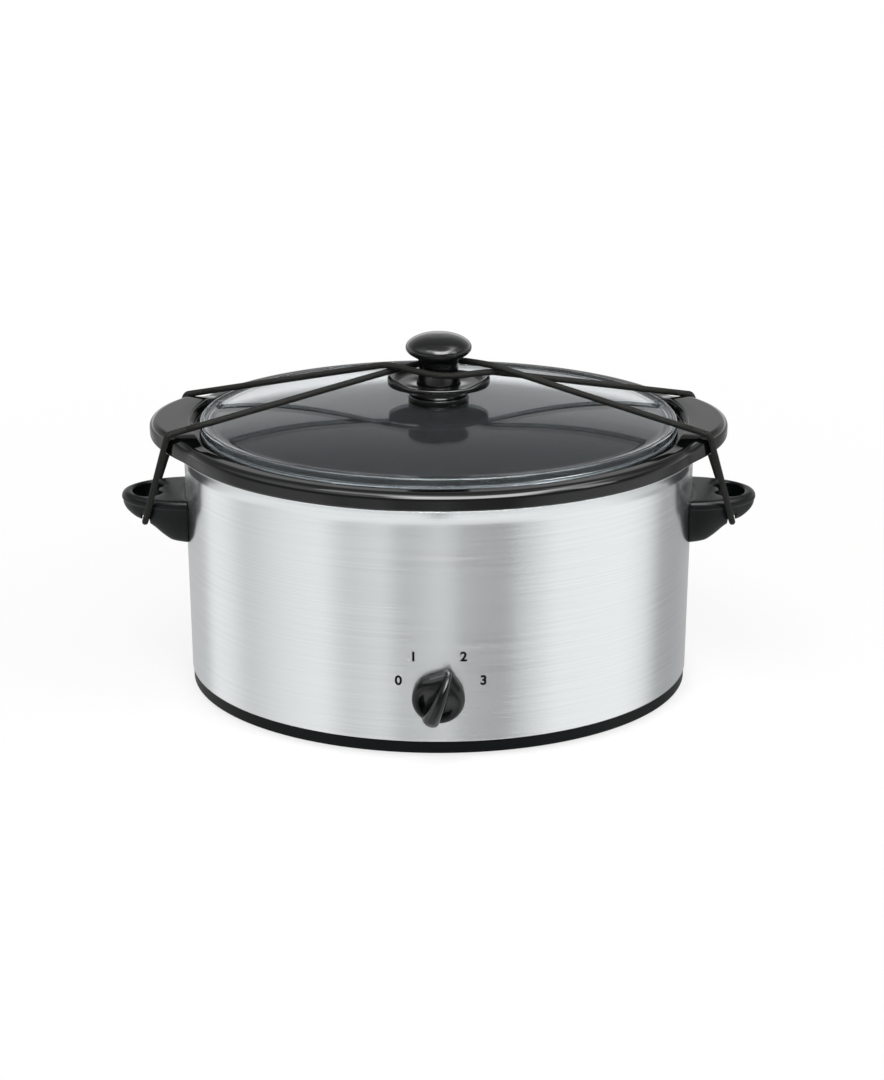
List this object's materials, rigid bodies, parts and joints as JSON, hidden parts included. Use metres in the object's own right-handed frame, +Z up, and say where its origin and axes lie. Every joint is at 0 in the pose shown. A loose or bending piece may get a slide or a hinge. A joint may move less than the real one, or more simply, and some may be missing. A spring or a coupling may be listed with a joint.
{
  "type": "slow cooker",
  "caption": "Oval slow cooker with a brushed steel housing, lift-out black crock with ears, domed glass lid, elastic lid strap, side handles and a rotary heat control.",
  "frame": {"origin": "on the table under the middle of the oval body", "axes": "+X to the right handle, +Y to the back where the cord gland is, +Z up; the heat control faces -Y"},
  "size_m": [0.402, 0.2796, 0.23],
  "materials": {
    "brushed_steel_shell": "satin brushed",
    "black_base_plastic": "fine texture",
    "foot_rubber": "matte",
    "liner_steel": "satin",
    "heater_foil": "satin",
    "zinc_steel": "satin",
    "shield_aluminium": "satin",
    "handle_plastic": "satin",
    "switch_plastic": "matte",
    "blade_brass": "satin",
    "lead_insulation": "matte",
    "strap_elastic": "woven",
    "crock_glaze": "gloss",
    "lid_clear_glass": "clear",
    "knob_plastic": "satin",
    "seal_silicone": "matte",
    "insert_brass": "satin"
  },
  "bodies": {
    "base": {"housing": "brushed_steel_shell", "base_pan": "black_base_plastic", "feet": "foot_rubber", "liner": "liner_steel", "heater_band": "heater_foil", "heater_clamp": "zinc_steel", "heat_shield": "shield_aluminium", "draw_spacer": "zinc_steel", "draw_washer": "zinc_steel", "draw_nut": "zinc_steel", "draw_stud": "zinc_steel", "handle_left": "handle_plastic", "handle_right": "handle_plastic", "handle_screws": "zinc_steel", "switch_body": "switch_plastic", "switch_nut": "zinc_steel", "switch_blades": "blade_brass", "cord_gland": "switch_plastic", "inner_leads": "lead_insulation", "strap_left_loop": "strap_elastic", "strap_right_loop": "strap_elastic"},
    "crock": {"crock": "crock_glaze"},
    "lid": {"lid_glass": "lid_clear_glass", "knob_seat": "knob_plastic", "strap_collar": "knob_plastic", "lid_knob": "knob_plastic", "knob_insert": "insert_brass", "lid_seal": "seal_silicone", "lid_washer": "zinc_steel", "lid_screw": "zinc_steel", "strap_front_run": "strap_elastic", "strap_back_run": "strap_elastic"},
    "dial": {"dial_knob": "knob_plastic", "switch_shaft": "zinc_steel", "dial_clip": "zinc_steel"}
  },
  "joints": [
    {"name": "crock_lift", "type": "slide", "parent": "base", "child": "crock", "axis": [0, 0, 1], "range_m": [0, 0.14], "deforming": ["strap_left_loop", "strap_right_loop"]},
    {"name": "lid_lift", "type": "slide", "parent": "crock", "child": "lid", "axis": [0, 0, 1], "range_m": [0, 0.12], "deforming": ["strap_front_run", "strap_back_run"]},
    {"name": "dial_turn", "type": "hinge", "parent": "base", "child": "dial", "pos_m": [0, -0.125, 0.04], "axis": [0, 1, 0], "range_deg": [-100, 50]}
  ]
}
